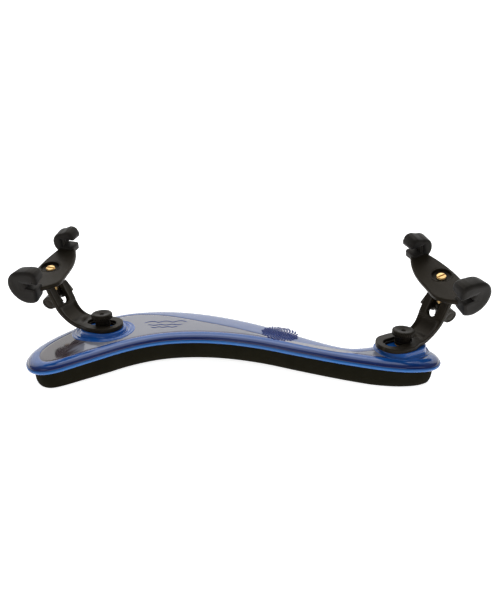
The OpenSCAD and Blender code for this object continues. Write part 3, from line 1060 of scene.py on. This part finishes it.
def leaf_outline():
    stations = [LEAF_HALF * math.sin(math.radians(a)) * 0.985 for a in range(-90, 91, 5)]
    outer = [(leaf_edge(LEAF_OUT, y) + LEAF_SPARE, y) for y in stations]
    inner = []
    for y in stations:
        bulge = LEAF_BULGE * math.exp(-((y - BULGE_AT) / BULGE_RUN) ** 2)
        inner.append((-leaf_edge(LEAF_IN, y) - LEAF_SPARE - LEAF_INNER_SPARE - bulge, y))
    return outer + inner[::-1]


def fork_place(side, x, y, z):
    """A point of the fork: x outward, y along the plate, z up its own axis."""
    f = FRAMES[side]
    return f["middle"] + f["outward"] * x + f["along"] * y + f["axis"] * z


def build_fork(side):
    fork = side + "_fork"
    hole = arc_points(0, 0, POCKET_R, 0, 350, 36)
    mesh = slab([leaf_outline(), hole], LEAF_T, bevel=1.0, step=1.5)

    def shape(x, y, w):
        crown = -0.35 * soft_step(abs(x + 1.5), 2.0, 9.5) if w > 0.6 else 0.0
        rise = y * y / (2 * LEAF_CURVE)
        return fork_place(side, x, y, rise + w - LEAF_T / 2 + crown)

    bend_mesh(mesh, shape)
    finish_piece(fork + "_plate", mesh, fork, NYLON, [fork], smooth=40)
    # from the hole up the outside, over the pocket's rim and down to its floor
    profile = [
        (ROD_HOLE_R, HUB_FOOT, 0), (4.3, HUB_FOOT, 0), (4.9, -4.3, 0), (5.05, -3.6, 0), (5.9, -3.0, 0),
        (6.2, -2.4, 0), (6.25, -0.9, 0), (6.15, -0.25, 0), (5.8, 0.06, 0), (5.4, 0.1, 0),
        (5.15, -0.05, 0), (5.05, -0.4, 0), (5.0, -1.45, 0), (4.8, -1.6, 0), (ROD_HOLE_R, -1.6, 0),
        (ROD_HOLE_R, HUB_FOOT, 0),
    ]
    f = FRAMES[side]
    rings = turned(profile, f["middle"], f["axis"], segments=72)
    verts, faces = loft(rings, cap_start=False, cap_end=False)
    add_piece(fork + "_hub", verts, faces, fork, NYLON, "nylon", smooth=40)


for side in SIDES:
    build_fork(side)


# %% [markdown]
# ## The rubber boots
# A boot is a thick disc with a deep notch on its inner side. Above the notch it hangs over like a bird's
# bill, and four small teeth on the back wall of the notch bite the violin's edge. It is drawn in side view
# as a slab with large round edges; its outer end stays full and its inner end shrinks onto the plate.

# %% Side view of a boot
BOOT_Y = 23.0                # middle of a boot, along the plate
NOTCH_LOW = 2.2
NOTCH_TOP = 7.2
NOTCH_MID = (NOTCH_LOW + NOTCH_TOP) / 2
TEETH = 4
TOOTH_R = 0.62
TOOTH_GAP = 1.7


def boot_outline(radius, centre_z, bill, crest):
    """Closed outline in x (outward) and z (up), walked once round from the top of the notch."""
    def on_disc(degrees):
        a = math.radians(degrees)
        return (radius * math.cos(a), centre_z + radius * math.sin(a))

    crown = centre_z + radius
    points = [(1.0, NOTCH_TOP), (-bill * 0.5, NOTCH_TOP), (-bill + 0.4, NOTCH_TOP)]
    points += [(-bill - 0.1, NOTCH_TOP + 0.5), (-bill - 0.2, NOTCH_TOP + 2.4)]
    points += [(-bill + 0.1, crown - 1.4), (-bill + 1.1, crown + crest * 0.5 - 0.2)]
    points += [(-bill * 0.62, crown + crest), (-bill * 0.3, crown + crest)]
    points += [on_disc(a) for a in range(80, -125, -6)]
    points += [(-bill + 1.7, -1.4), (-bill + 1.6, NOTCH_LOW - 1.0),
               (-bill + 1.9, NOTCH_LOW - 0.2), (-bill + 2.6, NOTCH_LOW), (1.0, NOTCH_LOW)]
    return points[::-1]


# %% Build the boots
def build_boot(side, end, radius, centre_z, bill, length, swell, closing, stretch, crest):
    direction = -1 if end == "front" else 1
    outline = boot_outline(radius, centre_z, bill, crest)
    mesh = slab([outline], length, bevel=min(1.7, radius * 0.2), step=1.1)

    def shape(x, z, w):
        outer = w / length + 0.5
        shrink = 1.0 - swell * (1 - soft_step(outer, 0.0, 0.75))
        reach = math.hypot(x, z - centre_z)
        on_end = w > length / 2 - 0.2
        dish = 0.35 * soft_step(reach, radius * 0.8, radius * 0.35) if on_end else 0.0
        y = direction * (BOOT_Y + w - dish)
        # near the outer end the notch closes up, so that the end looks like a full disc
        near = math.exp(-((z - NOTCH_MID) / 4.6) ** 2) * closing * soft_step(outer, 0.45, 0.95)
        near *= soft_step(x, 5.5, 2.0)
        z = z + (NOTCH_MID - 0.5 - z) * 0.62 * near
        if x > -2.5:
            x = x - 3.0 * near * soft_step(x, 2.6, 0.8) * soft_step(x, -2.6, 0.4)
        if z < NOTCH_LOW:
            z = NOTCH_LOW + (z - NOTCH_LOW) * stretch
        keep = soft_step(abs(z - NOTCH_MID), 2.6, 5.5)
        factor = 1 - (1 - shrink) * keep
        return fork_place(side, x * (1 - (1 - shrink) * 0.6), y, centre_z + (z - centre_z) * factor)

    bend_mesh(mesh, shape)
    name = side + "_" + end + "_boot"
    finish_piece(name + "_rubber", mesh, side + "_fork", RUBBER, [name], smooth=50)
    teeth = []
    profile = [(TOOTH_R, 0.0, 0), (TOOTH_R, NOTCH_TOP - NOTCH_LOW + 0.4, 0)]
    for i in range(TEETH):
        y = direction * BOOT_Y + (i - 1.5) * TOOTH_GAP - direction * 0.6
        base = fork_place(side, 0.7, y, NOTCH_LOW - 0.2)
        teeth.append(loft(turned(profile, base, FRAMES[side]["axis"], segments=16)))
    add_piece(name + "_teeth", *merge(teeth), side + "_fork", RUBBER, "rubber", smooth=40)


# swell is how much the inner end shrinks, closing how far the notch shuts at the outer end, stretch how
# much the part under the notch grows, and crest how far the top of the bill stands over the disc
BOOTS = {
    "front": dict(radius=9.6, centre_z=3.6, bill=7.8, length=9.4,
                  swell=0.12, closing=0.9, stretch=1.15, crest=0.7),
    "rear": dict(radius=7.4, centre_z=4.2, bill=6.9, length=9.0,
                 swell=0.08, closing=0.2, stretch=1.15, crest=1.5),
}
for side in SIDES:
    for end, sizes in BOOTS.items():
        build_boot(side, end, **sizes)


# %% [markdown]
# ## The brass rods
# Each rod is threaded all the way and ends in a slotted head that sits in the fork's pocket. The thread
# is real geometry: the radius of each ring rises and falls once per millimetre, and the start of the wave
# turns with the angle, which makes a helix.

# %% Build the rods
THREAD_PITCH = 1.0
THREAD_DEPTH = 0.32
THREAD_R = 1.9               # over the crests
RINGS_PER_TURN = 6
ROD_TOP = -1.5               # just under the head, from the fork's middle
HEAD_R = 2.6


def thread_shank(f, bottom, segments=24):
    """Rings up the rod, with a short taper at its lower end."""
    count = int((ROD_TOP - bottom) / (THREAD_PITCH / RINGS_PER_TURN))
    rings = []
    for k in range(count + 1):
        height = bottom + (ROD_TOP - bottom) * k / count
        fade = min(1.0, k / RINGS_PER_TURN)
        ring = []
        for i in range(segments):
            a = 2 * math.pi * i / segments
            phase = (height / THREAD_PITCH - i / segments) % 1.0
            depth = THREAD_DEPTH * (1 - abs(2 * phase - 1))
            r = THREAD_R - depth * fade - 0.4 * (1 - fade)
            ring.append((r * math.cos(a), r * math.sin(a), height))
        rings.append(place(ring, f["middle"], f["outward"], f["along"], f["axis"]))
    return loft(rings)


def build_rod(side):
    f = FRAMES[side]
    rod = side + "_rod"
    shank = thread_shank(f, min(f["axis"].dot(v.co / MM - f["middle"]) for v in nodes[rod].data.vertices))
    disc = [
        (0.4, -1.55, 0), (HEAD_R - 0.15, -1.55, 0), (HEAD_R, -1.4, 0), (HEAD_R, -1.15, 0),
        (HEAD_R - 0.15, -1.02, 0), (0.3, -1.0, 0),
    ]
    head = loft(turned(disc, f["middle"], f["axis"], segments=48))
    add_piece(side + "_threaded_rod", *merge([shank, head]), rod, BRASS, "brass", [rod], smooth=35)

    def domed(x, y, w):
        return fork_place(side, x, y, w - 0.78 + 0.1 * (1 - (x * x + y * y) / 6))

    # the two halves of the head on either side of the screwdriver slot
    for half, turn in (("a", 0), ("b", 180)):
        outline = arc_points(0, 0, HEAD_R - 0.15, turn + 12, turn + 168, 17)
        cap = slab([outline], 0.5, bevel=0.12, step=5.0)
        bend_mesh(cap, domed)
        finish_piece(rod + "_head_" + half, cap, rod, BRASS, smooth=40)


def build_collar(side):
    """The barrel nut has a short black collar that hides the rod between the prongs."""
    f = FRAMES[side]
    profile = [
        (1.96, -4.2, 0), (2.08, -4.2, 0), (2.18, -4.0, 0), (2.18, 4.7, 0), (2.08, 4.9, 0), (1.96, 4.9, 0),
    ]
    rings = turned(profile, f["block"], f["axis"], segments=40)
    verts, faces = loft(rings, cap_start=False, cap_end=False)
    add_piece(side + "_nut_collar", verts, faces, side + "_cross_nut", NYLON, "nylon", smooth=40)


for side in SIDES:
    build_rod(side)
    build_collar(side)


# %% [markdown]
# ## Pieces kept from the CAD model
# The blocks, collars, studs, nuts and inserts already have their true shape. They keep their meshes and
# get a narrow bevel, because no moulded or turned edge is perfectly sharp, and a finish of their own.

# %% Bevel and paint the carried-over pieces
# finish and width of the bevel
KEPT = {
    "slider": (NYLON, 0.45),
    "washer": (NYLON, 0.12),
    "stud": (STEEL, 0.1),
    "cross_nut": (NYLON, 0.3),
    "insert": (BRASS, 0.1),
}
for side in SIDES:
    for kind, (material, width) in KEPT.items():
        piece = nodes[side + "_" + kind]
        piece.data.materials.clear()
        piece.data.materials.append(material)
        weld = piece.modifiers.new("weld", "WELD")
        weld.merge_threshold = 0.00001
        bevel = piece.modifiers.new("soft_edge", "BEVEL")
        bevel.width = width * MM
        bevel.segments = 2
        bevel.limit_method = "ANGLE"
        bevel.angle_limit = math.radians(35)
        bevel.harden_normals = False
        piece.data.shade_smooth()
        piece.data.set_sharp_from_angle(angle=math.radians(38))
print("kept", sorted(KEPT))


# %% [markdown]
# ## Floor, light and camera
# A pale sweep of floor and three large soft lamps give an even light with faint shadows. The big overhead
# lamp matters most: it lights the top of the bar, whose pale colour is also painted in as a painted
# reflection. The camera stands in front of the rest and looks slightly down.

# %% Floor
FLOOR_HALF = 3.0
FLOOR_GLOW = 0.85
# depth and height of the sweep, in metres
FLOOR_SWEEP = [(-3.0, 0.0), (0.7, 0.0), (1.1, 0.05), (1.35, 0.25), (1.45, 0.6), (1.45, 2.2)]
WHITE = (1.0, 1.0, 1.0, 1.0)


def build_floor():
    mesh = bpy.data.meshes.new("floor")
    verts = []
    for x in (-FLOOR_HALF, FLOOR_HALF):
        verts += [(x, y, z) for y, z in FLOOR_SWEEP]
    n = len(FLOOR_SWEEP)
    faces = [(i, i + 1, n + i + 1, n + i) for i in range(n - 1)]
    mesh.from_pydata(verts, [], [face[::-1] for face in faces])
    mesh.shade_smooth()
    floor = bpy.data.objects.new("floor", mesh)
    bpy.context.scene.collection.objects.link(floor)
    material, tree, shader = new_material("pale_floor")
    grain = use_group(tree, GRAIN, **{"Grain Scale": 300.0, "Mottle Scale": 3.0})
    colour = mix_colour(tree, grain.outputs["Mottle"], (0.86, 0.86, 0.86), (0.88, 0.88, 0.88))
    tree.links.new(colour, shader.inputs["Base Color"])
    set_shader(shader, Roughness=0.9, Specular_IOR_Level=0.1, Emission_Color=WHITE,
               Emission_Strength=FLOOR_GLOW)
    floor.data.materials.append(material)
    print("floor", n, "rows deep")


build_floor()


# %% Lamps
WORLD_LIGHT = 0.26


def lamp(name, location, target, size, power, size_y=None):
    """A soft lamp aimed at a point: places and sizes in metres, power in watts."""
    data = bpy.data.lights.new(name, "AREA")
    data.energy = power
    data.size = size
    if size_y:
        data.shape = "RECTANGLE"
        data.size_y = size_y
    holder = bpy.data.objects.new(name, data)
    holder.location = location
    holder.rotation_euler = (Vector(target) - Vector(location)).to_track_quat("-Z", "Y").to_euler()
    bpy.context.scene.collection.objects.link(holder)
    print(name, power, "W")


lamp("overhead", (0.0, 0.35, 0.75), (0, 0, 0.02), 0.9, 2.6, 0.6)
lamp("front_left", (-0.55, -0.7, 0.55), (0, 0, 0.03), 0.5, 0.9)
lamp("front_right", (0.6, -0.6, 0.35), (0, 0, 0.03), 0.4, 0.5)
world = bpy.data.worlds.new("studio")
world.use_nodes = True
set_shader(world.node_tree.nodes["Background"], Color=WHITE, Strength=WORLD_LIGHT)
bpy.context.scene.world = world
bpy.context.scene.view_settings.view_transform = "Standard"

# %% Camera
CAMERA_AT = Vector((0.00526, -0.26524, 0.1406))
CAMERA_PITCH = math.radians(22)
camera_data = bpy.data.cameras.new("camera")
camera_data.lens = 29.3
camera_data.sensor_width = 36
camera_data.clip_start = 0.01
camera = bpy.data.objects.new("camera", camera_data)
camera.location = CAMERA_AT
camera.rotation_euler = (math.radians(90) - CAMERA_PITCH, 0, 0)
bpy.context.scene.collection.objects.link(camera)
bpy.context.scene.camera = camera
print("camera", [round(v, 3) for v in CAMERA_AT], "lens", round(camera_data.lens, 1))
